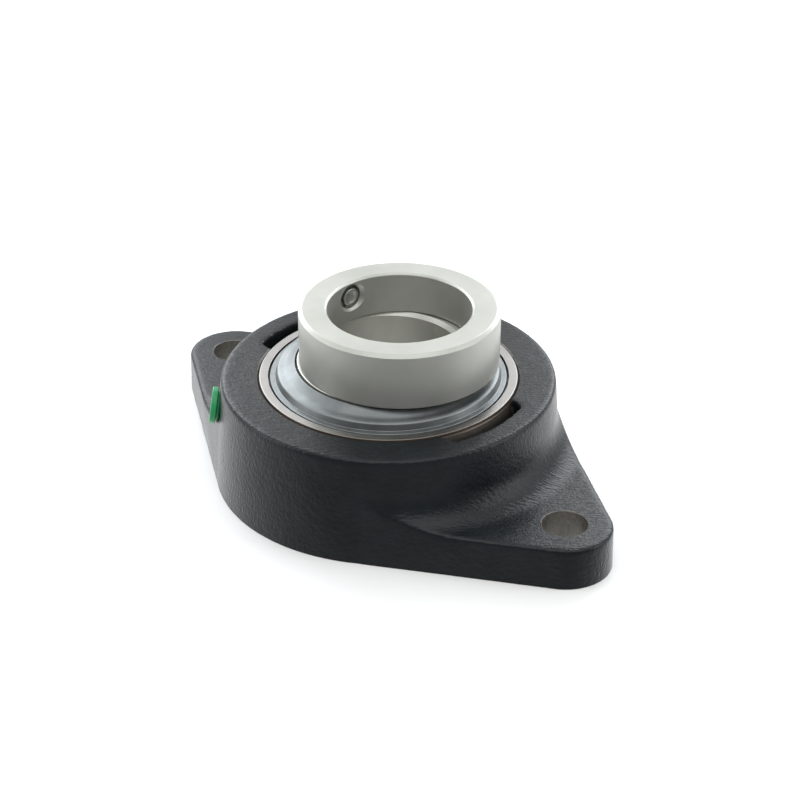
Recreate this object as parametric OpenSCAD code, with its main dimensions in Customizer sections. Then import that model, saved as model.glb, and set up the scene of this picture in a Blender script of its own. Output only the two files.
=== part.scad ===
// Two-bolt flange mount bearing: an oval cast housing with a spherical seat, and an insert
// ball bearing that aligns itself in the seat and grips its shaft by an eccentric locking collar.
// Origin: on the bore axis, in the mounting face. +Z runs along the shaft to the collar,
// and X runs through the two bolt holes.

/* [Housing] */
// Distance between the two bolt holes
bolt_spacing = 150; // [146:0.5:156]
// Diameter of each bolt hole
bolt_hole_d = 14; // [12:0.5:16]
// Radius of the rounded end of each ear
ear_r = 15; // [13.5:0.5:17]
// Thickness of the flange at the ears
flange_t = 13.5; // [12:0.5:15]
// Radius of the barrel at the mounting face
barrel_r = 55.5; // [54:0.5:58]
// Radius of the barrel just under its front edge
barrel_top_r = 52.8; // [51:0.1:53.5]
// Height of the barrel's front face over the mounting face
barrel_h = 34.8; // [34:0.1:35.4]
// Radius of the hollow fillet between the ears and the barrel
root_fillet = 9.5; // [6:0.5:11]
// Radius of the cored opening behind the seat
rear_open_r = 43.5; // [43:0.1:46]
// Depth of the cored opening behind the seat
rear_open_h = 12.5; // [8:0.1:12.8]

/* [Filling slots] */
// Outer radius that the two filling slots reach
slot_reach_r = 45.5; // [44.8:0.1:47]
// Half of the width of a filling slot
slot_half_w = 15.5; // [13:0.1:17]
// Radius of a filling slot's corners
slot_corner_r = 3; // [1.5:0.1:4]

/* [Lubrication port] */
// Direction of the port round the barrel, in degrees from +X
port_angle = 226; // [210:1:240]
// Height of the port's mouth over the mounting face
port_z = 23.4; // [22:0.1:24]
// Upward tilt of the port's axis, in degrees
port_tilt = 8.5; // [5:0.5:10]
// Diameter of the port
port_d = 8.8; // [8:0.1:9.2]
// Diameter of the plug's head
plug_head_d = 11.6; // [10.5:0.1:12.5]
// Thickness of the plug's head
plug_head_t = 1.8; // [1.5:0.1:2.5]
// Gap between the wall and the plug's head, on the port's axis
plug_gap = 0.9; // [0.9:0.1:1.5]

/* [Insert bearing] */
// Shaft size of the insert bearing
bore_d = 45; // [44:0.1:46]
// Diameter of the outer ring's spherical surface
insert_d = 85; // [84.8:0.05:85]
// Width of the outer ring
outer_w = 22; // [21.8:0.1:22.2]
// Height of the sphere's centre over the mounting face
centre_z = 24; // [23.9:0.1:24.1]
// Distance from the sphere's centre to the inner ring's rear end
inner_rear = 21.4; // [20.5:0.1:22]
// Distance from the sphere's centre to the inner ring's front end
inner_front = 20.6; // [20:0.1:20.8]
// Radius of the inner ring's ground land
land_r = 28.8; // [28.6:0.05:28.8]
// Ball diameter
ball_d = 12.7; // [12.6:0.01:12.7]
// Pitch circle diameter of the balls
pitch_d = 65; // [65:0.01:65]

/* [Eccentric locking collar] */
// Outer diameter of the collar
collar_d = 63; // [62:0.5:64]
// Width of the collar
collar_w = 18.3; // [17:0.1:19]
// Clearance bore of the collar
collar_bore_d = 45.2; // [45.1:0.05:45.5]
// Distance from the shaft axis to the axis of the cam
cam_e = 1.72; // [1.2:0.01:1.8]
// Radius of the cam on the inner ring
cam_r = 26.6; // [26.2:0.05:26.8]
// Direction of the cam, in degrees from +X
cam_angle = 45; // [0:1:359]
// Direction of the grub screw from the collar's axis, in degrees from +X
screw_angle = 177; // [150:1:200]
// Diameter of the grub screw
screw_d = 7.9; // [7.8:0.01:7.9]
// Length of the grub screw
screw_l = 8; // [7:0.1:8.4]

/* [Hidden] */
$fn = 96;

balls = 9;
ball_r = ball_d / 2;
pitch_r = pitch_d / 2;
// The raceways are slightly wider than the ball and leave it 0.01 mm of play.
race_r = 6.54;
race_play = 0.01;
inner_race_c = pitch_r - ball_r - race_play + race_r;
outer_race_c = pitch_r + ball_r + race_play - race_r;
sphere_r = insert_d / 2;
seat_r = sphere_r + 0.03;
// The seals sit in a shallow seat at each end of the outer ring.
seal_seat_r = 37.9;
seal_seat_depth = 2.3;
shoulder_r = 36.2;
// Radius of the outer ring's flat face, inside its 45 degree edge break.
edge_r = 40.6;
land_end_z = centre_z + 16.25;
collar_z = centre_z + 16.3;
recess_depth = 4.7;
recess_r = cam_r + 0.08;
screw_z = collar_z + 12.6;
// Directions that several pieces share.
cam_dir = [cos(cam_angle), sin(cam_angle), 0];
half_spacing = bolt_spacing / 2;
wall_draft = atan((barrel_r - barrel_top_r) / barrel_h);
// Outer radius of the barrel at a height.
function barrel_at(z) = barrel_r - z * tan(wall_draft);
// The ears' tangents touch the barrel at half the flange's thickness.
waist_r = barrel_at(flange_t / 2);
tangent = asin((waist_r - ear_r) / half_spacing);
// Hollow fillet from the ear's face up to the barrel, as points on a quarter circle.
fillet_foot_r = barrel_at(flange_t + root_fillet) + root_fillet;
fillet_points = [for (a = [0:15:90])
    [fillet_foot_r - (root_fillet + 0.1) * sin(a), flange_t + root_fillet * (1 - cos(a))]];

// Upright block over the two ears and the straight tangents that join them to the barrel.
module ears_block(height) {
    union() {
        for (s = [-1, 1])
            translate([s * half_spacing, 0, 0])
                cylinder(h = height, r = ear_r);
        linear_extrude(height = height)
            polygon([
                ear_tangent(-1, 1), barrel_tangent(-1, 1),
                barrel_tangent(1, 1), ear_tangent(1, 1),
                ear_tangent(1, -1), barrel_tangent(1, -1),
                barrel_tangent(-1, -1), ear_tangent(-1, -1)
            ]);
    }
}

// Points where a tangent leaves the barrel and meets an ear. x and side are -1 or 1.
function barrel_tangent(x, side) = waist_r * [x * sin(tangent), side * cos(tangent)];
function ear_tangent(x, side) =
    [x * (half_spacing + ear_r * sin(tangent)), side * ear_r * cos(tangent)];

// Plan of the two filling slots, through which the insert is swung into its seat edge first.
module slot_plan() {
    corner_x = sqrt(pow(slot_reach_r - slot_corner_r, 2) - pow(slot_half_w - slot_corner_r, 2));
    meet_y = (slot_half_w - slot_corner_r) * slot_reach_r / (slot_reach_r - slot_corner_r);
    intersection() {
        circle(r = slot_reach_r);
        square([2 * slot_reach_r + 2, 2 * meet_y], center = true);
    }
    square([2 * corner_x, 2 * slot_half_w], center = true);
    for (sx = [-1, 1], sy = [-1, 1])
        translate([sx * corner_x, sy * (slot_half_w - slot_corner_r)])
            circle(r = slot_corner_r);
}

// Places its children along the lubrication port's axis, with z = 0 at the barrel's wall.
module on_port_axis() {
    rotate([0, 0, port_angle])
        translate([barrel_at(port_z), 0, port_z])
            rotate([0, 90 - port_tilt, 0])
                children();
}

module housing() {
    color([0.17, 0.19, 0.20])
        difference() {
            union() {
                cylinder(h = barrel_h - 1, r1 = barrel_r, r2 = barrel_at(barrel_h - 1));
                translate([0, 0, barrel_h - 1])
                    cylinder(h = 1, r1 = barrel_at(barrel_h - 1), r2 = barrel_top_r - 1);
                intersection() {
                    ears_block(flange_t + root_fillet);
                    rotate_extrude()
                        polygon(concat(
                            [[0, 0], [half_spacing + ear_r + 5, 0],
                             [half_spacing + ear_r + 5, flange_t]],
                            fillet_points,
                            [[0, flange_t + root_fillet]]
                        ));
                }
            }
            // Spherical seat
            translate([0, 0, centre_z])
                sphere(r = seat_r);
            // Cored opening behind the seat
            translate([0, 0, -1])
                cylinder(h = rear_open_h + 1, r = rear_open_r);
            // Small lead at the seat's mouth
            translate([0, 0, barrel_h - 0.4])
                cylinder(h = 0.6, r1 = 41.1, r2 = 41.7);
            // Filling slots, down to the sphere's centre
            translate([0, 0, centre_z])
                linear_extrude(height = barrel_h)
                    slot_plan();
            // Bolt holes
            for (s = [-1, 1])
                translate([s * half_spacing, 0, -1])
                    cylinder(h = flange_t + 20, d = bolt_hole_d);
            // Grease groove round the seat, level with the outer ring's holes
            translate([0, 0, centre_z - 8.3])
                difference() {
                    cylinder(h = 2.6, r = 43.6);
                    translate([0, 0, -1])
                        cylinder(h = 5, r = 40);
                }
            // Lubrication port and the inclined passage to the groove
            on_port_axis()
                translate([0, 0, -8])
                    cylinder(h = 16, d = port_d);
            rotate([0, 0, port_angle])
                translate([41.6, 0, centre_z - 7.2])
                    rotate([0, 52, 0])
                        cylinder(h = 8, r = 1.6);
        }
}

// Push-in plug that closes the port, with a flat round head.
module lube_plug() {
    color([0.10, 0.52, 0.28])
        on_port_axis()
            union() {
                translate([0, 0, plug_gap])
                    cylinder(h = plug_head_t, d = plug_head_d);
                translate([0, 0, -6.5])
                    cylinder(h = 6.7 + plug_gap, d = port_d - 0.3);
                translate([0, 0, -7.5])
                    cylinder(h = 1.1, d1 = port_d - 2, d2 = port_d - 0.3);
            }
}

module outer_ring() {
    color([0.84, 0.82, 0.80])
        difference() {
            translate([0, 0, centre_z])
                intersection() {
                    sphere(r = sphere_r);
                    cylinder(h = outer_w, r = sphere_r + 1, center = true);
                    // Edge breaks at both faces
                    cylinder(h = 46, r1 = edge_r + 34, r2 = edge_r - 12, center = true);
                    cylinder(h = 46, r1 = edge_r - 12, r2 = edge_r + 34, center = true);
                }
            translate([0, 0, centre_z - outer_w])
                cylinder(h = 2 * outer_w, r = shoulder_r);
            for (s = [-1, 1])
                translate([0, 0, centre_z + s * (outer_w / 2 - seal_seat_depth / 2 + 1)])
                    cylinder(h = seal_seat_depth + 2, r = seal_seat_r, center = true);
            translate([0, 0, centre_z])
                rotate_extrude()
                    translate([outer_race_c, 0])
                        circle(r = race_r);
            // Two grease holes, beside the raceway
            translate([0, 0, centre_z - 7])
                rotate([90, 0, 0])
                    cylinder(h = 100, r = 1.2, center = true);
        }
}

module inner_ring() {
    rear_z = centre_z - inner_rear;
    front_z = centre_z + inner_front;
    color([0.70, 0.70, 0.67])
        difference() {
            union() {
                translate([0, 0, rear_z])
                    cylinder(h = 0.8, r1 = land_r - 0.8, r2 = land_r);
                translate([0, 0, rear_z + 0.8])
                    cylinder(h = land_end_z - rear_z - 0.8, r = land_r);
                // Eccentric cam at the front end
                translate(cam_e * cam_dir + [0, 0, land_end_z - 1])
                    cylinder(h = front_z - land_end_z + 0.6, r = cam_r);
                translate(cam_e * cam_dir + [0, 0, front_z - 0.4])
                    cylinder(h = 0.4, r1 = cam_r, r2 = cam_r - 0.4);
            }
            translate([0, 0, rear_z - 1])
                cylinder(h = 60, d = bore_d);
            translate([0, 0, rear_z - 0.2])
                cylinder(h = 1.2, r1 = bore_d / 2 + 1.2, r2 = bore_d / 2);
            translate([0, 0, front_z - 1])
                cylinder(h = 1.2, r1 = bore_d / 2, r2 = bore_d / 2 + 1.2);
            translate([0, 0, centre_z])
                rotate_extrude()
                    translate([inner_race_c, 0])
                        circle(r = race_r);
        }
}

// Snap cage: one ring with a claw round each ball, open towards the collar.
module cage() {
    color([0.86, 0.82, 0.68])
        translate([0, 0, centre_z])
            difference() {
                translate([0, 0, -8.2])
                    cylinder(h = 11.4, r = 34.9);
                translate([0, 0, -9])
                    cylinder(h = 14, r = 30.1);
                for (i = [0:balls - 1])
                    rotate([0, 0, i * 360 / balls])
                        translate([pitch_r, 0, 0])
                            sphere(r = ball_r + 0.1);
                // Gaps between the claws of neighbouring balls
                for (i = [0:balls - 1])
                    rotate([0, 0, (i + 0.5) * 360 / balls])
                        translate([pitch_r - 6, -2.6, -3.2])
                            cube([12, 5.2, 10]);
            }
}

module ball(number) {
    color([0.80, 0.81, 0.82])
        rotate([0, 0, (number - 1) * 360 / balls])
            translate([pitch_r, 0, centre_z])
                sphere(r = ball_r);
}

// Each seal is a dished steel washer, a rubber lip and a steel plate, turned about the axis.
// Points are radius and height over the sphere's centre. side is 1 at the collar's end, -1 behind.
module seal_turned(points, side) {
    translate([0, 0, centre_z])
        mirror([0, 0, side < 0 ? 1 : 0])
            rotate_extrude()
                polygon(points);
}

module seal_washer(side) {
    color([0.76, 0.79, 0.81])
        seal_turned([
            [37.6, 10.2], [37.6, 10.9], [36.0, 11.0], [35.6, 11.0], [34.9, 12.7], [34.4, 13.2],
            [29.4, 15.85], [29.4, 15.05], [34.0, 12.6], [34.3, 12.1], [35.1, 10.2]
        ], side);
}

module seal_lip(side) {
    color([0.06, 0.06, 0.06])
        seal_turned([
            [37.6, 9.4], [37.6, 10.2], [35.1, 10.2], [34.3, 12.1], [34.0, 12.6], [29.4, 15.05],
            [28.84, 15.3], [28.84, 14.8], [29.4, 14.1], [33.4, 11.7], [34.5, 9.4]
        ], side);
}

module seal_plate(side) {
    color([0.70, 0.73, 0.75])
        seal_turned([
            [37.6, 8.8], [37.6, 9.4], [34.5, 9.4], [33.4, 11.7], [29.4, 14.1], [29.4, 13.4],
            [33.0, 11.2], [34.1, 8.8]
        ], side);
}

module eccentric_collar() {
    color([0.74, 0.76, 0.72])
        difference() {
            translate(2 * cam_e * cam_dir + [0, 0, collar_z])
                difference() {
                    union() {
                        cylinder(h = 0.4, r1 = collar_d / 2 - 0.4, r2 = collar_d / 2);
                        translate([0, 0, 0.4])
                            cylinder(h = collar_w - 1.4, r = collar_d / 2);
                        translate([0, 0, collar_w - 1])
                            cylinder(h = 1, r1 = collar_d / 2, r2 = collar_d / 2 - 1.25);
                    }
                    translate([0, 0, -1])
                        cylinder(h = collar_w + 2, d = collar_bore_d);
                    translate([0, 0, collar_w - 0.7])
                        cylinder(h = 1.4, r1 = collar_bore_d / 2, r2 = collar_bore_d / 2 + 1);
                    translate([0, 0, screw_z - collar_z])
                        rotate([0, 0, screw_angle])
                            rotate([0, 90, 0]) {
                                cylinder(h = 40, r = 4);
                                cylinder(h = collar_bore_d / 2 + 0.9, r1 = 12, r2 = 4);
                            }
                    // Blind hole for the drift that turns the collar tight
                    translate([0, 0, collar_w / 2])
                        rotate([0, 0, screw_angle - 80])
                            translate([collar_d / 2 - 4, 0, 0])
                                rotate([0, 90, 0])
                                    cylinder(h = 10, r = 3);
                }
            // Eccentric recess that fits over the cam
            translate(cam_e * cam_dir + [0, 0, collar_z - 1])
                cylinder(h = recess_depth + 1, r = recess_r);
        }
}

// Grub screw with a hexagon socket outside and a cup point inside.
module grub_screw() {
    color([0.62, 0.64, 0.62])
        translate(2 * cam_e * cam_dir + [0, 0, screw_z])
            rotate([0, 0, screw_angle])
                translate([collar_bore_d / 2 + 0.3, 0, 0])
                    rotate([0, 90, 0])
                        difference() {
                            union() {
                                cylinder(h = 1, r1 = 2.9, r2 = screw_d / 2);
                                translate([0, 0, 1])
                                    cylinder(h = screw_l - 1, r = screw_d / 2);
                            }
                            translate([0, 0, -0.01])
                                cylinder(h = 1.2, r1 = 2.3, r2 = 0.4);
                            translate([0, 0, screw_l - 4])
                                cylinder(h = 5, r = 2 / cos(30), $fn = 6);
                        }
}

housing();
lube_plug();
outer_ring();
inner_ring();
cage();
ball(1);  // ball_1
ball(2);  // ball_2
ball(3);  // ball_3
ball(4);  // ball_4
ball(5);  // ball_5
ball(6);  // ball_6
ball(7);  // ball_7
ball(8);  // ball_8
ball(9);  // ball_9
seal_washer(1);  // seal_washer_front
seal_lip(1);  // seal_lip_front
seal_plate(1);  // seal_plate_front
seal_washer(-1);  // seal_washer_rear
seal_lip(-1);  // seal_lip_rear
seal_plate(-1);  // seal_plate_rear
eccentric_collar();
grub_screw();
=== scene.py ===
"""Two-bolt flange mount bearing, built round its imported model.

The file follows the unit as it is put together: the casting and its plug first, then the insert
bearing from its outer ring inwards, then the locking collar with its screw, and the studio last.
Lengths are in millimetres until they meet Blender, where mm turns them into metres.
"""
from math import asin, atan, cos, hypot, pi, radians, sin, sqrt, tan

import bmesh
import bpy
from mathutils import Matrix, Vector


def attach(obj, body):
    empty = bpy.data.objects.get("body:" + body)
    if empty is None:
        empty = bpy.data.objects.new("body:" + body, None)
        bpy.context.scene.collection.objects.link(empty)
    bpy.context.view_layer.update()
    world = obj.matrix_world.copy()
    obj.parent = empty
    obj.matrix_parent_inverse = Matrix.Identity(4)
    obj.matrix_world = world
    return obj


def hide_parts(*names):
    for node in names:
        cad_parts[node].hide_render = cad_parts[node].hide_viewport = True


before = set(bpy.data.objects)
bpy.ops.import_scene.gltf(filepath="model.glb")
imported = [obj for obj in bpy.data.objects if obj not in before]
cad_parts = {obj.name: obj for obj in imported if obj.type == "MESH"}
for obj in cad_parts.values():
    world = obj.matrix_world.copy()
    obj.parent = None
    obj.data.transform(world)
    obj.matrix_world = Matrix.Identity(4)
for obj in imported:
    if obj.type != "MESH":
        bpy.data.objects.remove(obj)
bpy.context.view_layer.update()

mm = 0.001

# ---------------------------------------------------------------------------------------------
# Housing: one grey-iron casting, moulded in sand with rounded edges and drafted walls.
# Its foot is faced flat, the spherical seat is bored, the bolt holes are drilled after painting.
# ---------------------------------------------------------------------------------------------
bolt_hole_x, bolt_hole_r = 75.0, 7.0
flange_t, ear_foot_r, ear_draft = 13.5, 15.0, 0.022
barrel_foot_r, barrel_top_r, barrel_h = 55.5, 52.8, 34.8
root_fillet_r = 9.5
wall_draft = atan((barrel_foot_r - barrel_top_r) / barrel_h)
seat_r, seat_z = 42.53, 24.0
rear_open_r, rear_open_h = 43.5, 12.5
rim_round = 0.9
sand_grain, sand_wave, sand_relief = 0.62, 7.0, 0.12
facing_stock, weld_depth = 3.0, 0.15


def barrel_at(z):
    """Radius of the barrel's drafted wall at a height."""
    return barrel_foot_r - z * tan(wall_draft)


def only(*pieces):
    """Selects these pieces alone and makes the first one active."""
    bpy.ops.object.select_all(action="DESELECT")
    for piece in pieces:
        piece.select_set(True)
    bpy.context.view_layer.objects.active = pieces[0]
    return pieces[0]


def settle(piece, name):
    """Names a piece and puts its place and turn into its mesh."""
    only(piece)
    piece.name = piece.data.name = name
    bpy.ops.object.transform_apply(location=True, rotation=True, scale=True)
    return piece


def pick(piece, kind, passes):
    """In edit mode, selects the faces, edges or verts of a piece that pass a test."""
    bpy.context.tool_settings.mesh_select_mode = [kind == k for k in ("verts", "edges", "faces")]
    mesh = bmesh.from_edit_mesh(piece.data)
    for part in list(mesh.verts) + list(mesh.edges) + list(mesh.faces):
        part.select = False
    for part in getattr(mesh, kind):
        part.select_set(bool(passes(part)))
    bmesh.update_edit_mesh(piece.data)


def turned(name, outline, steps=160, centre=(0, 0)):
    """Turns an outline round an upright axis, as on a lathe. It is closed, or ends on the axis.

    Each corner is (radius, height) or (radius, height, size of its rounded corner).
    """
    bpy.ops.object.select_all(action="DESELECT")
    bpy.ops.mesh.primitive_plane_add(size=mm)
    piece = bpy.context.object
    bpy.ops.object.mode_set(mode="EDIT")
    bpy.context.tool_settings.mesh_select_mode = (True, False, False)
    bpy.ops.mesh.select_all(action="SELECT")
    bpy.ops.mesh.merge(type="CENTER")
    places = [Vector((centre[0] + corner[0], centre[1], corner[1])) * mm for corner in outline]
    bpy.ops.transform.translate(value=places[0])
    hollow = outline[0][0] > 0
    for before, after in zip(places, places[1:] + places[:hollow]):
        bpy.ops.mesh.extrude_region_move(TRANSFORM_OT_translate={"value": after - before})
    bpy.ops.mesh.select_all(action="SELECT")
    bpy.ops.mesh.remove_doubles(threshold=1e-7)
    sizes = {corner[2] for corner in outline if len(corner) > 2}
    for size in sorted(sizes):
        corners = [p for p, c in zip(places, outline) if len(c) > 2 and c[2] == size]
        pick(piece, "verts", lambda v: any((v.co - p).length < 1e-6 for p in corners))
        bpy.ops.mesh.bevel(offset=size * mm, segments=4, affect="VERTICES")
    bpy.ops.mesh.select_all(action="SELECT")
    axis_foot = (centre[0] * mm, centre[1] * mm, 0)
    bpy.ops.mesh.spin(steps=steps, angle=2 * pi, center=axis_foot, axis=(0, 0, 1))
    bpy.ops.mesh.select_all(action="SELECT")
    bpy.ops.mesh.remove_doubles(threshold=2e-7)
    bpy.ops.mesh.normals_make_consistent(inside=False)
    bpy.ops.object.mode_set(mode="OBJECT")
    return settle(piece, name)


def combine(piece, tool, operation="DIFFERENCE"):
    """Cuts a tool out of a piece, or with another operation joins or trims them. The tool goes."""
    only(piece)
    step = piece.modifiers.new("machining", "BOOLEAN")
    step.operation, step.solver, step.object = operation, "EXACT", tool
    bpy.ops.object.modifier_apply(modifier=step.name)
    bpy.data.objects.remove(tool)
    return piece


def apply_step(piece, kind, **settings):
    """Adds one modifier with its settings and applies it."""
    only(piece)
    step = piece.modifiers.new("step", kind)
    for name, value in settings.items():
        setattr(step, name, value)
    bpy.ops.object.modifier_apply(modifier=step.name)


def arc(centre_r, centre_z, radius, start, stop, count):
    """Points on an arc of an outline. Angles are in radians, from the outward direction."""
    turns = [start + (stop - start) * i / count for i in range(count + 1)]
    return [(centre_r + radius * cos(t), centre_z + radius * sin(t)) for t in turns]


# The flange is the skin stretched over three drafted cones, two for the ears, one for the barrel.
flange_h = flange_t + root_fillet_r
ear_rs = ear_foot_r + facing_stock * ear_draft, ear_foot_r - flange_h * ear_draft
cones = []
for x, foot_r, top_r in (
    (-bolt_hole_x, *ear_rs),
    (0.0, barrel_at(-facing_stock) - weld_depth, barrel_at(flange_h) - weld_depth),
    (bolt_hole_x, *ear_rs),
):
    bpy.ops.object.select_all(action="DESELECT")
    bpy.ops.mesh.primitive_cone_add(
        vertices=160, radius1=foot_r * mm, radius2=top_r * mm, depth=(flange_h + facing_stock) * mm,
        location=(x * mm, 0, (flange_h - facing_stock) / 2 * mm))
    cones.append(bpy.context.object)
only(*cones)
bpy.ops.object.join()
housing = settle(bpy.context.object, "cast_housing")
bpy.ops.object.mode_set(mode="EDIT")
bpy.ops.mesh.select_all(action="SELECT")
bpy.ops.mesh.convex_hull()
bpy.ops.object.mode_set(mode="OBJECT")

# The ears' tops sweep up to the barrel in a hollow fillet.
fillet_foot_r = barrel_at(flange_h) + root_fillet_r
sweep = arc(fillet_foot_r, flange_h, root_fillet_r, -pi / 2, -pi, 14)
combine(housing, turned("fillet_former", [(0, -10), (100, -10), (100, flange_t)] + sweep
                        + [(barrel_at(flange_h) - 2, flange_h), (0, flange_h)]), "INTERSECT")
combine(housing, turned("barrel_former", [
    (0, -facing_stock), (barrel_at(-facing_stock), -facing_stock),
    (barrel_at(barrel_h), barrel_h, rim_round), (0, barrel_h)]), "UNION")

# Filling slots: two pockets beside the seat, cast down to the height of the seat's centre.
slot_reach_r, slot_half_w, slot_corner_r = 45.5, 15.5, 3.0
bpy.ops.object.select_all(action="DESELECT")
bpy.ops.mesh.primitive_cube_add(size=1, location=(0, 0, (seat_z + 20) * mm))
slots = bpy.context.object
slots.scale = (2 * slot_reach_r * mm, 2 * slot_half_w * mm, 40 * mm)
settle(slots, "slot_core")
combine(slots, turned("slot_end", [(0, 10), (slot_reach_r, 10), (slot_reach_r, 90), (0, 90)]),
        "INTERSECT")
bpy.ops.object.mode_set(mode="EDIT")
pick(slots, "edges", lambda e: abs(e.verts[0].co.z - e.verts[1].co.z) > 0.02
     and abs(abs(e.verts[0].co.y) - slot_half_w * mm) < 1e-5)
bpy.ops.mesh.bevel(offset=slot_corner_r * mm, segments=8, affect="EDGES")
bpy.ops.object.mode_set(mode="OBJECT")
combine(housing, slots)

# Sand moulding rounds every edge and leaves the skin slightly uneven.
apply_step(housing, "REMESH", mode="VOXEL", voxel_size=sand_grain * mm)
apply_step(housing, "SMOOTH", factor=0.5, iterations=9)
unevenness = bpy.data.textures.new("sand_unevenness", "CLOUDS")
unevenness.noise_scale = sand_wave * mm
apply_step(housing, "DISPLACE", texture=unevenness, strength=sand_relief * mm, mid_level=0.5)

# Facing cut across the foot, at the mounting face.
bpy.ops.object.mode_set(mode="EDIT")
bpy.ops.mesh.select_all(action="SELECT")
bpy.ops.mesh.bisect(plane_co=(0, 0, 0), plane_no=(0, 0, 1), use_fill=True, clear_inner=True,
                    threshold=1e-6)
bpy.ops.mesh.quads_convert_to_tris()
bpy.ops.object.mode_set(mode="OBJECT")

# Bored together: the rear opening, the spherical seat with its grease groove, and the lead at the
# mouth.
groove_r, groove_low, groove_high = 43.6, 15.7, 18.3
lead_r, lead_z = 41.75, 34.4


def seat_arc(low, high, count):
    """Outline points of the spherical seat between two heights."""
    return arc(0, seat_z, seat_r, asin((low - seat_z) / seat_r), asin((high - seat_z) / seat_r),
               count)


boring = [(0, -5), (rear_open_r + 1, -5), (rear_open_r + 1, -0.5), (rear_open_r, 0.5),
          (rear_open_r, rear_open_h)]
boring += seat_arc(rear_open_h, groove_low, 4) + [(groove_r, groove_low), (groove_r, groove_high)]
boring += seat_arc(groove_high, lead_z, 20) + [(lead_r, barrel_h + 0.3), (lead_r, 40), (0, 40)]
cutters = turned("boring_tool", boring, steps=256)

# Lubrication port, drilled slightly upwards of square to the wall, and its passage to the groove.
port_angle, port_tilt, port_z, port_r = radians(226), radians(8.5), 23.4, 4.4
passage_r, passage_slant, passage_foot = 1.6, radians(52), (41.6, 0, seat_z - 7.2)
port_frame = (Matrix.Rotation(port_angle, 4, "Z")
              @ Matrix.Translation(Vector((barrel_at(port_z), 0, port_z)) * mm)
              @ Matrix.Rotation(pi / 2 - port_tilt, 4, "Y"))
passage_frame = (Matrix.Rotation(port_angle, 4, "Z")
                 @ Matrix.Translation(Vector(passage_foot) * mm)
                 @ Matrix.Rotation(passage_slant, 4, "Y"))


def laid(piece, place_matrix):
    """Puts a piece that was turned about the upright axis at its real place and slant."""
    piece.matrix_world = place_matrix
    return settle(piece, piece.name)


port_drill = laid(turned("port_drill", [
    (0, -8), (port_r, -8), (port_r, -0.4), (port_r + 0.9, 0.5), (port_r + 0.9, 6), (0, 6)],
    steps=64), port_frame)
passage_drill = turned("passage_drill", [
    (0, 0.3), (passage_r, 0.3), (passage_r, 8), (0, 8)], steps=28)
combine(port_drill, laid(passage_drill, passage_frame), "UNION")
combine(cutters, port_drill, "UNION")
drills = [turned("drill", [
    (0, -5), (bolt_hole_r + 0.5, -5), (bolt_hole_r + 0.5, -0.1), (bolt_hole_r, 0.4),
    (bolt_hole_r, flange_t - 0.12), (bolt_hole_r + 1, flange_t + 0.88),
    (bolt_hole_r + 1, 30), (0, 30)], steps=96, centre=(x, 0)) for x in (-bolt_hole_x, bolt_hole_x)]
only(cutters, *drills)
bpy.ops.object.join()
combine(housing, cutters)


class Signal:
    """One output of a shader node. Plain arithmetic on it adds Math nodes to its material."""

    def __init__(self, tree, socket):
        self.tree, self.socket = tree, socket

    def node(self, kind, settings, inputs, out=0):
        """Adds a node, makes its settings, then fills or links its inputs by name or number."""
        made = self.tree.nodes.new("ShaderNode" + kind)
        for name, value in settings.items():
            setattr(made, name, value)
        for name, value in inputs.items():
            if isinstance(value, Signal):
                self.tree.links.new(value.socket, made.inputs[name])
            else:
                made.inputs[name].default_value = value
        return Signal(self.tree, made.outputs[out])

    def math(self, operation, *values):
        return self.node("Math", {"operation": operation}, dict(enumerate(values)))

    def __add__(self, other): return self.math("ADD", self, other)
    def __radd__(self, other): return self.math("ADD", other, self)
    def __mul__(self, other): return self.math("MULTIPLY", self, other)
    def __rmul__(self, other): return self.math("MULTIPLY", other, self)
    def __truediv__(self, other): return self.math("DIVIDE", self, other)
    def __pow__(self, other): return self.math("POWER", self, other)

    def noise(self, size, detail=2.0, roughness=0.5, stretch=(1, 1, 1), turn=0.0):
        """Fine unevenness, size in millimetres, stretched along three directions after a turn."""
        mapped = self.node("Mapping", {"vector_type": "TEXTURE"}, {
            "Vector": self, "Rotation": (0, 0, turn),
            "Scale": tuple(size * mm * s for s in stretch)})
        return self.node("TexNoise", {}, {"Vector": mapped, "Scale": 1.0, "Detail": detail,
                                          "Roughness": roughness})

    def ranged(self, low, high, new_low, new_high):
        """Rescales a value from one range to another, held at the ends."""
        return self.node("MapRange", {}, {0: self, 1: low, 2: high, 3: new_low, 4: new_high})

    def cloud(self, first, second):
        """Drifts between two colours, with most of this noise's values inside the drift."""
        return self.ranged(0.3, 0.7, 0, 1).between(first, second)

    def between(self, first, second):
        """Mixes two colours by this value."""
        colours = [c if isinstance(c, Signal) else (*c, 1) for c in (first, second)]
        return self.node("Mix", {"data_type": "RGBA"}, {0: self, 6: colours[0], 7: colours[1]}, 2)

    def bump(self, strength, depth, under=None):
        """Turns this value into a surface normal, with its depth in millimetres."""
        inputs = {"Strength": strength, "Distance": depth * mm, "Height": self}
        if under is not None:
            inputs["Normal"] = under
        return self.node("Bump", {}, inputs)


def start_finish(name, **constants):
    """A new material: its shader with the sockets that are the same all over, and its place."""
    finish = bpy.data.materials.new(name)
    finish.use_nodes = True
    shader = finish.node_tree.nodes["Principled BSDF"]
    for socket, value in constants.items():
        shader.inputs[socket.replace("_", " ")].default_value = value
    seat = finish.node_tree.nodes.new("ShaderNodeTexCoord")
    return finish, shader, Signal(finish.node_tree, seat.outputs["Object"])


def feed(shader, **signals):
    """Links signals to the shader's sockets."""
    for socket, signal in signals.items():
        signal.tree.links.new(signal.socket, shader.inputs[socket.replace("_", " ")])


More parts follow.
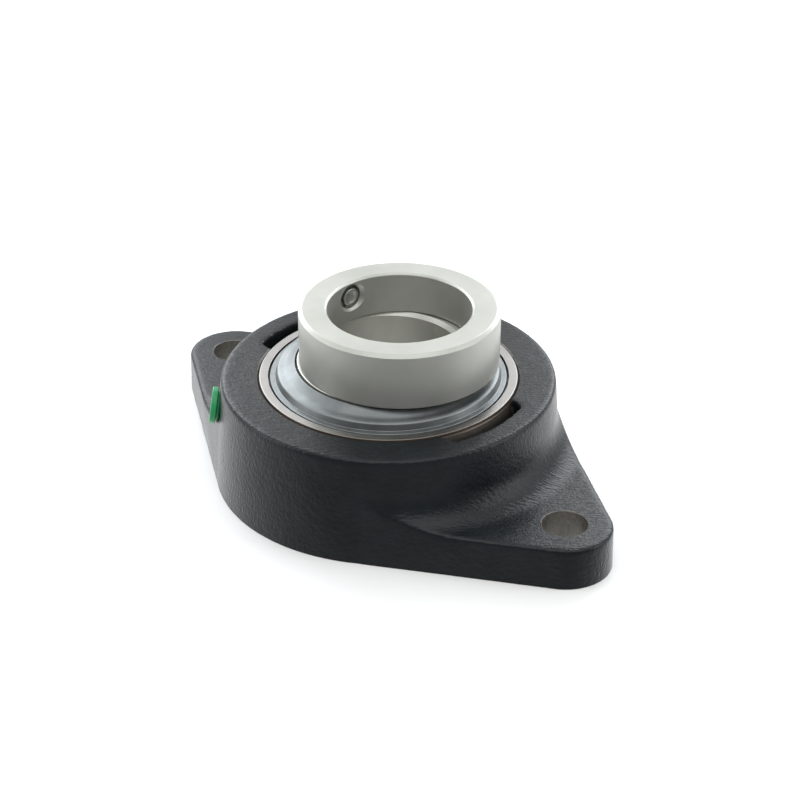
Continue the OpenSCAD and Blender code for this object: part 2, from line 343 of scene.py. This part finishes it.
# Satin anthracite paint, sprayed thin over the sand-cast skin, so it keeps an orange-peel grain.
paint, shader, place = start_finish("anthracite_paint", IOR=1.36)
peel = place.noise(0.9, 2.0, 0.55)
wrinkle = place.noise(0.75, 2.0, 0.6, stretch=(6.0, 0.9, 2.0), turn=radians(45))
patches = place.noise(16, 3.0, 0.6)
patchy = patches.ranged(0.35, 0.65, 0, 1)
feed(shader, Base_Color=patchy.between((0.0045, 0.0065, 0.008), (0.0085, 0.0115, 0.0135)),
     Roughness=0.22 + 0.10 * patches + 0.06 * peel,
     Normal=wrinkle.bump(1.0, 0.19, peel.bump(0.9, 0.11)))

# Bare machined iron on the foot, in the seat and in the bolt holes, with fine tool marks.
machined, shader, place = start_finish("bare_iron", Metallic=1.0)
grain = place.noise(0.9, 3.0, 0.6)
rings = place.noise(1.2, 2.0, 0.6, stretch=(6, 6, 0.25))
feed(shader,
     Base_Color=grain.cloud((0.20, 0.19, 0.17), (0.32, 0.305, 0.28)),
     Roughness=0.42 + 0.2 * grain, Normal=rings.bump(0.5, 0.05))


def dress(piece, node, body, slot, *finishes, angle=35):
    """Gives a finished piece its finishes, shading and body, and hides the imported part it stands
    for. The slot is not used.
    """
    only(piece)
    for finish in finishes:
        piece.data.materials.append(finish)
    bpy.ops.object.shade_smooth_by_angle(angle=radians(angle))
    apply_step(piece, "WEIGHTED_NORMAL", keep_sharp=True)
    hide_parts(node)
    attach(piece, body)


def is_machined(face):
    """Whether a face of the casting was cut after painting: foot, bolt holes or seat."""
    middle = face.calc_center_median() / mm
    in_hole = hypot(abs(middle.x) - bolt_hole_x, middle.y) < bolt_hole_r + 0.4
    in_seat = (middle - Vector((0, 0, seat_z))).length < seat_r + 0.3
    on_top = face.normal.z > 0.9
    return (in_hole or in_seat or middle.z < 0.02) and not on_top


dress(housing, "housing", "housing", "housing_paint", paint, machined)
bpy.ops.object.mode_set(mode="EDIT")
pick(housing, "faces", is_machined)
housing.active_material_index = 1
bpy.ops.object.material_slot_assign()
bpy.ops.object.mode_set(mode="OBJECT")

# ---------------------------------------------------------------------------------------------
# Lubrication plug: moulded green plastic, pushed into the port by hand to keep dirt out.
# Its flat round head stands just off the wall, and its stem has soft ribs that grip the port.
# ---------------------------------------------------------------------------------------------
plug_head_r, plug_head_t, plug_gap, stem_r = 5.8, 1.85, 0.85, 4.25
neck_r, neck_groove_r, plug_top = 4.75, 4.3, plug_gap + plug_head_t
stem_outline = [(0, -7.5), (stem_r - 0.85, -7.5, 0.3), (stem_r - 0.3, -6.4, 0.3)]
for rib in range(3):
    stem_outline += [(stem_r - 0.3, -5.9 + rib * 2, 0.1), (stem_r, -5.4 + rib * 2, 0.2),
                     (stem_r - 0.3, -4.9 + rib * 2, 0.1)]
plug = turned("green_plug", stem_outline + [
    (stem_r - 0.3, -0.5, 0.1), (neck_r, 0.15, 0.1), (neck_r, plug_gap - 0.15, 0.05),
    (neck_groove_r, plug_gap - 0.1), (neck_groove_r, plug_gap), (plug_head_r, plug_gap, 0.2),
    (plug_head_r, plug_top, 0.25), (plug_head_r - 1.6, plug_top, 0.2),
    (plug_head_r - 2.0, plug_top - 0.35, 0.2), (0, plug_top - 0.35)], steps=72)
laid(plug, port_frame)
green, shader, place = start_finish("green_plastic", Specular_IOR_Level=0.5)
mould = place.noise(0.7, 3.0, 0.6)
flow = place.noise(6, 2.0, 0.5)
feed(shader, Base_Color=flow.cloud((0.012, 0.29, 0.095), (0.020, 0.36, 0.13)),
     Roughness=0.32 + 0.12 * mould, Normal=mould.bump(0.35, 0.03))
dress(plug, "lube_plug", "plug", "plug_green", green)

# ---------------------------------------------------------------------------------------------
# Outer ring: through-hardened bearing steel. Its outside is ground to a sphere that swivels in
# the seat, the faces are ground flat, and two holes let grease in beside the raceway.
# ---------------------------------------------------------------------------------------------
sphere_r, ring_low, ring_high, face_edge_r = 42.5, 13.0, 35.0, 40.6
shoulder_r, seal_seat_r, seal_seat_deep, grease_hole_r = 36.2, 37.9, 2.3, 1.2
ball_r, pitch_r, race_r = 6.35, 32.5, 6.54
outer_race_r = pitch_r + ball_r + 0.01 - race_r
race_half = sqrt(race_r ** 2 - (shoulder_r - outer_race_r) ** 2)
break_z = 0.67
rim = asin((ring_high - break_z - seat_z) / sphere_r)
ring_outline = [(face_edge_r, ring_low, 0.15)] + arc(0, seat_z, sphere_r, -rim, rim, 32) + [
    (face_edge_r, ring_high, 0.15), (seal_seat_r, ring_high, 0.12),
    (seal_seat_r, ring_high - seal_seat_deep), (shoulder_r, ring_high - seal_seat_deep, 0.2)]
race_turn = asin(race_half / race_r)
ring_outline += arc(outer_race_r, seat_z, race_r, race_turn, -race_turn, 20) + [
    (shoulder_r, ring_low + seal_seat_deep, 0.2), (seal_seat_r, ring_low + seal_seat_deep),
    (seal_seat_r, ring_low, 0.12)]
outer_ring = turned("ground_outer_ring", ring_outline, steps=200)
bpy.ops.object.select_all(action="DESELECT")
bpy.ops.mesh.primitive_cylinder_add(
    vertices=24, radius=grease_hole_r * mm, depth=100 * mm,
    location=(0, 0, (groove_low + groove_high) / 2 * mm), rotation=(pi / 2, 0, 0))
combine(outer_ring, settle(bpy.context.object, "grease_hole_drill"))


def split(place, centre=(0, 0)):
    """The three coordinates of a place, counted from an upright axis through centre."""
    moved = place.node("Mapping", {}, {
        "Vector": place, "Location": (-centre[0] * mm, -centre[1] * mm, 0)})
    parts = place.node("SeparateXYZ", {}, {0: moved}).socket.node
    return [Signal(place.tree, output) for output in parts.outputs]


def radius_of(place, centre=(0, 0)):
    """Distance from the upright axis through centre."""
    x, y, _ = split(place, centre)
    return (x * x + y * y) ** 0.5


def lathe_grain(place, pitch, centre=(0, 0)):
    """Fine rings left by grinding or turning, about an upright axis through centre."""
    x, y, z = split(place, centre)
    angle = y.math("ARCTAN2", y, x)
    lanes = place.node("CombineXYZ", {}, {
        0: radius_of(place, centre) / (pitch * mm), 1: angle * 0.8, 2: z / (pitch * mm)})
    return place.node("TexNoise", {}, {"Vector": lanes, "Scale": 1.0, "Detail": 2.0,
                                       "Roughness": 0.6})


ground, shader, place = start_finish("ground_steel", Metallic=1.0)
grinding = lathe_grain(place, 0.35)
stain = place.noise(9, 3.0, 0.6)
bright_face = stain.cloud((0.29, 0.28, 0.27), (0.34, 0.33, 0.32))
preserved = stain.cloud((0.36, 0.33, 0.285), (0.46, 0.42, 0.37))
outside = radius_of(place).ranged((face_edge_r - 0.05) * mm, (face_edge_r + 0.1) * mm, 0, 1)
# Just past each face's edge, a thin band of the sphere is painted near black-brown: painted shade of
# the gap between the ring and the housing's seat.
gap_shade_r, gap_shade_end_r, gap_shade_colour = 41.15, 41.5, (0.030, 0.022, 0.017)
gap_shade_band = outside * radius_of(place).ranged(gap_shade_r * mm, gap_shade_end_r * mm, 1, 0)
feed(shader, Base_Color=gap_shade_band.between(outside.between(bright_face, preserved), gap_shade_colour),
     Roughness=0.26 + 0.10 * grinding + 0.10 * outside, Normal=grinding.bump(0.25, 0.012))
dress(outer_ring, "outer_ring", "outer_ring", "ring_steel", ground)

# ---------------------------------------------------------------------------------------------
# Seals, one at each end: a washer pressed from zinc-plated sheet and dished over the balls, a
# black rubber lip vulcanised behind it that wipes the inner ring, and a plate that clamps the lip.
# ---------------------------------------------------------------------------------------------
zinc_sheet, shader, place = start_finish("zinc_sheet", Metallic=1.0)
pressing = lathe_grain(place, 0.5)
spangle = place.noise(0.8, 4.0, 0.7)
drift = place.noise(7, 3.0, 0.6)
feed(shader, Base_Color=drift.cloud((0.165, 0.177, 0.180), (0.225, 0.239, 0.242)),
     Roughness=0.33 + 0.14 * spangle + 0.06 * drift,
     Normal=spangle.bump(0.25, 0.02, pressing.bump(0.2, 0.012)))
rubber, shader, place = start_finish("seal_rubber", Specular_IOR_Level=0.35)
bloom = place.noise(0.6, 3.0, 0.6)
feed(shader, Base_Color=bloom.between((0.008, 0.008, 0.008), (0.020, 0.020, 0.019)),
     Roughness=0.50 + 0.2 * bloom, Normal=bloom.bump(0.4, 0.03))

# Outlines of one seal, with each height counted from the middle of the balls.
washer_outline = [(37.3, 10.2), (37.3, 10.85, 0.25), (35.6, 11.0, 0.15), (35.0, 13.05, 0.3),
                  (34.3, 13.35, 0.3), (32.6, 13.75, 0.6), (31.0, 14.7, 0.6), (29.4, 15.85, 0.25),
                  (29.4, 15.05), (33.9, 12.6, 0.3), (34.3, 12.1, 0.3), (35.1, 10.2, 0.1)]
lip_outline = [(37.6, 9.4), (37.6, 10.2), (35.1, 10.2), (34.3, 12.1), (33.9, 12.6), (29.4, 15.05),
               (29.1, 15.35, 0.1), (28.84, 15.3, 0.1), (28.84, 14.8, 0.1), (29.4, 14.1), (33.4, 11.7),
               (34.5, 9.4)]
plate_outline = [(37.6, 8.8, 0.1), (37.6, 9.4), (34.5, 9.4, 0.1), (33.4, 11.7, 0.2), (29.4, 14.1),
                 (29.4, 13.4, 0.1), (33.0, 11.2, 0.2), (34.1, 8.8, 0.1)]
for end, side in (("front", 1), ("rear", -1)):
    for part, outline, finish, slot in (("washer", washer_outline, zinc_sheet, "seal_zinc"),
                                        ("lip", lip_outline, rubber, "seal_rubber"),
                                        ("plate", plate_outline, zinc_sheet, "seal_zinc")):
        placed = [(c[0], seat_z + side * c[1], *c[2:]) for c in outline]
        piece = turned("seal_%s_%s_piece" % (part, end), placed, steps=200)
        dress(piece, "seal_%s_%s" % (part, end), "outer_ring", slot, finish, angle=25)

# ---------------------------------------------------------------------------------------------
# Balls and cage, sealed in: nine polished steel balls, and one snap cage moulded in glass-filled
# nylon whose claws keep them apart. Nobody sees them while the seals are in place.
# ---------------------------------------------------------------------------------------------
def recoat(node, finish):
    """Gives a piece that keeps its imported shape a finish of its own."""
    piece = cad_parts[node]
    piece.data.materials.clear()
    piece.data.materials.append(finish)


polished, shader, place = start_finish("polished_ball_steel", Metallic=1.0)
haze = place.noise(2.5, 3.0, 0.6)
feed(shader, Base_Color=haze.between((0.62, 0.62, 0.63), (0.72, 0.72, 0.73)),
     Roughness=0.06 + 0.06 * haze, Normal=haze.bump(0.05, 0.005))
for number in range(1, 10):
    recoat("ball_%d" % number, polished)
nylon, shader, place = start_finish("cage_nylon", Specular_IOR_Level=0.4)
fibre = place.noise(0.5, 4.0, 0.7, stretch=(2, 2, 0.6))
feed(shader, Base_Color=fibre.between((0.50, 0.42, 0.26), (0.62, 0.54, 0.36)),
     Roughness=0.48 + 0.12 * fibre, Normal=fibre.bump(0.4, 0.03))
recoat("cage", nylon)

# ---------------------------------------------------------------------------------------------
# Inner ring: ground bearing steel, longer than the outer ring. The shaft goes through its bore,
# and its front end is turned off centre into the short cam that the locking collar grips.
# ---------------------------------------------------------------------------------------------
bore_r, land_r, ring_rear_z, land_end_z, ring_front_z = 22.5, 28.8, 2.6, 40.25, 44.6
cam_r, cam_off, cam_angle = 26.6, 1.72, radians(45)
cam_centre = (cam_off * cos(cam_angle), cam_off * sin(cam_angle))
inner_race_r = pitch_r - ball_r - 0.01 + race_r
inner_turn = asin(sqrt(race_r ** 2 - (inner_race_r - land_r) ** 2) / race_r)
inner_ring = turned("ground_inner_ring", [
    (20, ring_rear_z), (land_r, ring_rear_z, 0.8)]
    + arc(inner_race_r, seat_z, race_r, pi + inner_turn, pi - inner_turn, 20)
    + [(land_r, land_end_z, 0.35), (20, land_end_z)], steps=200)
combine(inner_ring, turned("cam_blank", [
    (10, land_end_z - 1), (cam_r, land_end_z - 1), (cam_r, ring_front_z, 0.5), (10, ring_front_z)],
    centre=cam_centre), "UNION")
combine(inner_ring, turned("bore_tool", [
    (0, 0), (bore_r + 1.2 + ring_rear_z, 0), (bore_r, ring_rear_z + 1.2),
    (bore_r, ring_front_z - 1.2), (bore_r + 2.2, ring_front_z + 1), (0, ring_front_z + 1)]))
bore_steel, shader, place = start_finish("honed_steel", Metallic=0.75)
honing = lathe_grain(place, 0.3)
stain = place.noise(8, 3.0, 0.6)
feed(shader, Base_Color=stain.cloud((0.46, 0.46, 0.425), (0.54, 0.535, 0.50)),
     Roughness=0.30 + 0.12 * honing, Normal=honing.bump(0.25, 0.012))
dress(inner_ring, "inner_ring", "inner_ring", "inner_steel", bore_steel)

# ---------------------------------------------------------------------------------------------
# Eccentric locking collar: turned steel, zinc plated to a pale satin grey-green. Its off-centre
# recess jams on the inner ring's cam when it is turned, and a cross hole is tapped for the screw.
# ---------------------------------------------------------------------------------------------
collar_r, collar_bore_r, collar_low, collar_high = 31.5, 22.6, 40.3, 58.6
collar_centre = (2 * cam_centre[0], 2 * cam_centre[1])
recess_r, recess_deep = cam_r + 0.08, 4.7
screw_angle, screw_z, tapped_r = radians(177), collar_low + 12.6, 4.0
drift_angle, drift_z, drift_r = screw_angle - radians(80), (collar_low + collar_high) / 2, 3.0
collar = turned("locking_collar", [
    (collar_bore_r, collar_low), (collar_r, collar_low, 0.4), (collar_r, collar_high - 1.0, 0.12),
    (collar_r - 1.2, collar_high, 0.12), (collar_bore_r + 0.6, collar_high, 0.12),
    (collar_bore_r, collar_high - 0.6, 0.12)], steps=256, centre=collar_centre)
combine(collar, turned("recess_tool", [
    (0, collar_low - 2), (recess_r + 0.5, collar_low - 2), (recess_r + 0.5, collar_low - 0.1),
    (recess_r, collar_low + 0.4), (recess_r, collar_low + recess_deep),
    (0, collar_low + recess_deep)], centre=cam_centre))


def collar_drill(outline, angle, height, steps=64):
    """A turned tool laid flat, pointing outwards from the collar's axis at an angle and height."""
    tool = turned("collar_drill", outline, steps=steps)
    return laid(tool, Matrix.Translation(Vector((*collar_centre, height)) * mm)
                @ Matrix.Rotation(angle, 4, "Z") @ Matrix.Rotation(pi / 2, 4, "Y"))


combine(collar, collar_drill([
    (0, 10), (tapped_r + 1.3, 10), (tapped_r + 1.3, 22.0), (tapped_r, collar_bore_r + 0.75),
    (tapped_r, collar_r - 0.4), (tapped_r + 0.6, collar_r + 0.2), (tapped_r + 0.6, 40), (0, 40)],
    screw_angle, screw_z))
combine(collar, collar_drill([
    (0, collar_r - 4.6), (drift_r - 0.5, collar_r - 4.2), (drift_r, collar_r - 4.0),
    (drift_r, collar_r - 0.3), (drift_r + 0.6, collar_r + 0.3), (drift_r + 0.6, 40), (0, 40)],
    drift_angle, drift_z))
plated, shader, place = start_finish("zinc_plating", Metallic=0.8)
turning = lathe_grain(place, 0.28, collar_centre)
satin = place.noise(0.5, 3.0, 0.6)
cast_of_colour = place.noise(14, 3.0, 0.6)
feed(shader, Base_Color=cast_of_colour.cloud((0.415, 0.425, 0.39), (0.475, 0.48, 0.445)),
     Roughness=0.34 + 0.08 * satin + 0.06 * cast_of_colour,
     Normal=satin.bump(0.12, 0.01, turning.bump(0.22, 0.012)))
dress(collar, "eccentric_collar", "collar", "collar_zinc", plated)

# ---------------------------------------------------------------------------------------------
# Grub screw: hardened steel, screwed across the collar until its cup point bites into the shaft.
# The thread's crests show in the hole, with a hexagon socket at the outer end.
# ---------------------------------------------------------------------------------------------
screw_r, screw_len, screw_start, thread_pitch = 3.95, 8.0, collar_bore_r + 0.3, 1.25
socket_r = 2 / cos(radians(30))
threads = []
for crest in range(4):
    foot = screw_start + 2.1 + crest * thread_pitch
    threads += [(screw_r - 0.62, foot), (screw_r, foot + 0.5, 0.06), (screw_r, foot + 0.68, 0.06)]
screw = collar_drill([
    (0, screw_start + 0.35), (1.5, screw_start + 0.3), (2.1, screw_start, 0.08),
    (2.9, screw_start, 0.2), (2.9, screw_start + 1.9, 0.1)] + threads
    + [(screw_r - 0.55, screw_start + screw_len, 0.1), (0, screw_start + screw_len)],
    screw_angle, screw_z, steps=96)
bpy.ops.object.select_all(action="DESELECT")
bpy.ops.mesh.primitive_cylinder_add(vertices=6, radius=socket_r * mm, depth=8 * mm,
                                    location=(0, 0, (screw_start + screw_len) * mm))
socket = bpy.context.object
socket.matrix_world = (Matrix.Translation(Vector((*collar_centre, screw_z)) * mm)
                       @ Matrix.Rotation(screw_angle, 4, "Z") @ Matrix.Rotation(pi / 2, 4, "Y")
                       @ socket.matrix_world)
combine(screw, settle(socket, "socket_broach"))
screw.name = screw.data.name = "cup_point_screw"
dark_steel, shader, place = start_finish("screw_steel_finish", Metallic=1.0)
wear = place.noise(0.8, 3.0, 0.6)
feed(shader, Base_Color=wear.between((0.42, 0.43, 0.41), (0.58, 0.59, 0.57)),
     Roughness=0.28 + 0.14 * wear, Normal=wear.bump(0.2, 0.015))
dress(screw, "grub_screw", "screw", "screw_steel", dark_steel)

# ---------------------------------------------------------------------------------------------
# Studio: a plain pale floor, one large soft light high on the camera's side, a wide one behind
# with a small one at each end of it, one at the left, one at the right, and a pale room that is
# darker on the camera's side.
# ---------------------------------------------------------------------------------------------
bpy.ops.object.select_all(action="DESELECT")
floor_side, floor_drop = 12, 0.0002
bpy.ops.mesh.primitive_plane_add(size=floor_side, location=(0, 0, -floor_drop))
floor = settle(bpy.context.object, "studio_floor")
pale, shader, place = start_finish("pale_floor", Specular_IOR_Level=0.1, Roughness=0.9)
feed(shader, Base_Color=place.noise(400, 2.0, 0.5).between((0.94, 0.94, 0.94), (0.95, 0.95, 0.95)))
floor.data.materials.append(pale)
floor.visible_glossy = False


def soft_light(name, azimuth, elevation, distance, size, power, tint=(1, 1, 1)):
    """A soft light that faces the object. Angles are in degrees, lengths in metres."""
    lamp = bpy.data.lights.new(name, "AREA")
    lamp.shape, lamp.size, lamp.size_y, lamp.energy = "RECTANGLE", size[0], size[1], power
    lamp.color = tint
    holder = bpy.data.objects.new(name, lamp)
    bpy.context.scene.collection.objects.link(holder)
    holder.matrix_world = (Matrix.Rotation(radians(azimuth), 4, "Z")
                           @ Matrix.Rotation(radians(90 - elevation), 4, "X")
                           @ Matrix.Translation((0, 0, distance)))


cool = (0.93, 0.97, 1.0)
soft_light("light_top", 45, 68, 1.0, (1.1, 1.1), 5.0)
soft_light("light_back", 225, 35, 1.3, (1.6, 0.7), 1.6)
soft_light("light_back_left", 262, 32, 0.36, (0.22, 0.24), 0.66, cool)
soft_light("light_back_right", 188, 32, 0.36, (0.22, 0.24), 0.60, cool)
soft_light("light_left", 320, 22, 1.0, (0.5, 0.9), 3.0)
soft_light("light_right", 125, 25, 1.0, (0.5, 0.9), 3.0)

world = bpy.data.worlds.new("studio_room")
bpy.context.scene.world = world
world.use_nodes = True
tree = world.node_tree
direction = Signal(tree, tree.nodes.new("ShaderNodeTexCoord").outputs["Generated"])
camera_side, up = (0.7071, -0.7071, 0.0), (0, 0, 1)
front, height = (direction.node("VectorMath", {"operation": "DOT_PRODUCT"},
                                {0: direction, 1: towards}, 1) for towards in (camera_side, up))
room = front.ranged(-0.5, 0.75, 1.0, 0.30) * height.ranged(-0.5, 0.0, 1.9, 1.0)
tree.links.new((0.9 * room).socket, tree.nodes["Background"].inputs["Strength"])
tree.nodes["Background"].inputs["Color"].default_value = (0.98, 0.99, 1.0, 1)

scene = bpy.context.scene
scene.view_settings.view_transform = "Standard"
focal_length, camera_place = 97.86, (0.4235, -0.4186, 0.3749)
camera_azimuth, camera_elevation, camera_roll = 44.981, 30.434, 0.167
lens = bpy.data.cameras.new("studio_camera")
lens.lens, lens.sensor_width, lens.clip_start = focal_length, 36.0, 0.01
camera = bpy.data.objects.new("studio_camera", lens)
scene.collection.objects.link(camera)
camera.matrix_world = (Matrix.Translation(camera_place)
                       @ Matrix.Rotation(radians(camera_azimuth), 4, "Z")
                       @ Matrix.Rotation(radians(90 - camera_elevation), 4, "X")
                       @ Matrix.Rotation(radians(camera_roll), 4, "Z"))
scene.camera = camera
